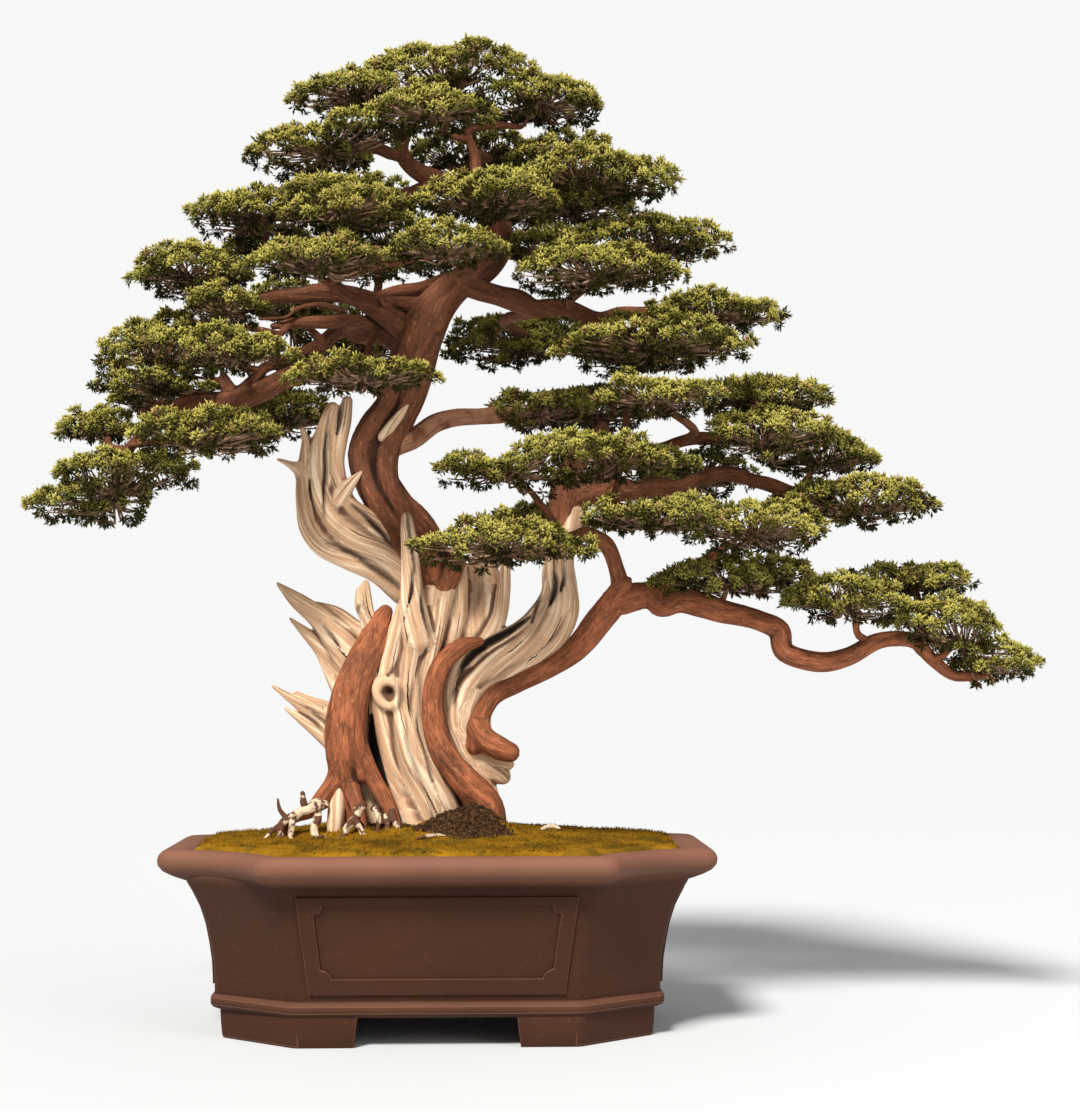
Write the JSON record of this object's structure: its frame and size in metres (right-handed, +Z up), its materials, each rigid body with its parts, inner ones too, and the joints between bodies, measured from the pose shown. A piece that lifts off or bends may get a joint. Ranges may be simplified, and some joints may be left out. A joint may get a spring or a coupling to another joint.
{
  "type": "bonsai tree in a pot",
  "caption": "Old juniper bonsai with a bleached, twisted deadwood trunk, live red bark veins and layered foliage pads, in a shallow unglazed clay pot with cut corners and feet.",
  "frame": {"origin": "middle of the bottom of the whole object's box, on the surface that the pot's feet stand on", "axes": "+Z up, +X to the right of the front view along the pot's long side, +Y to the back; the front faces -Y"},
  "size_m": [1.1394, 0.5174, 1.1036],
  "materials": {
    "clay": "unglazed dark brown clay, matt with a faint sheen on the lip",
    "mesh_plastic": "matt black plastic mesh",
    "gravel": "coarse grit",
    "soil": "dark damp granular soil",
    "moss": "low olive and gold moss",
    "deadwood": "bleached silky grain with red brown live bark veins",
    "bark": "fibrous red brown bark",
    "foliage": "dense scale foliage, olive green with yellow green tips"
  },
  "bodies": {
    "root": {"pot": "clay", "drain_screen_left": "mesh_plastic", "drain_screen_right": "mesh_plastic", "drainage_gravel": "gravel", "soil": "soil", "moss": "moss", "trunk": "deadwood", "branch_left_low": "bark", "branch_left_mid": "bark", "branch_left_back": "bark", "branch_right_high": "bark", "branch_right_grey": "bark", "branch_right_mid": "bark", "branch_right_back": "bark", "branch_right_low": "bark", "foliage_apex": "foliage", "foliage_apex_front": "foliage", "foliage_apex_back": "foliage", "foliage_upper_left": "foliage", "foliage_upper_left_front": "foliage", "foliage_upper_left_side": "foliage", "foliage_upper_left_back": "foliage", "foliage_trunk_front": "foliage", "foliage_left_shelf": "foliage", "foliage_left_shelf_back": "foliage", "foliage_left_shelf_front": "foliage", "foliage_centre_front": "foliage", "foliage_left_tuft": "foliage", "foliage_left_wide": "foliage", "foliage_left_centre": "foliage", "foliage_trunk_low": "foliage", "foliage_left_rear": "foliage", "foliage_left_far": "foliage", "foliage_left_low": "foliage", "foliage_left_tip": "foliage", "foliage_left_under": "foliage", "foliage_back_left": "foliage", "foliage_back_centre": "foliage", "foliage_upper_right": "foliage", "foliage_upper_right_side": "foliage", "foliage_upper_right_front": "foliage", "foliage_right_shelf": "foliage", "foliage_right_wide": "foliage", "foliage_right_back": "foliage", "foliage_right_side": "foliage", "foliage_right_front": "foliage", "foliage_right_inner": "foliage", "foliage_right_inner_back": "foliage", "foliage_right_cloud": "foliage", "foliage_right_cloud_back": "foliage", "foliage_second_front": "foliage", "foliage_right_reach": "foliage", "foliage_second_low": "foliage", "foliage_right_mid_low": "foliage", "foliage_hollow_front": "foliage", "foliage_second_back": "foliage", "foliage_riser": "foliage", "foliage_long_near": "foliage", "foliage_long_side": "foliage", "foliage_long_tip": "foliage"}
  },
  "joints": []
}
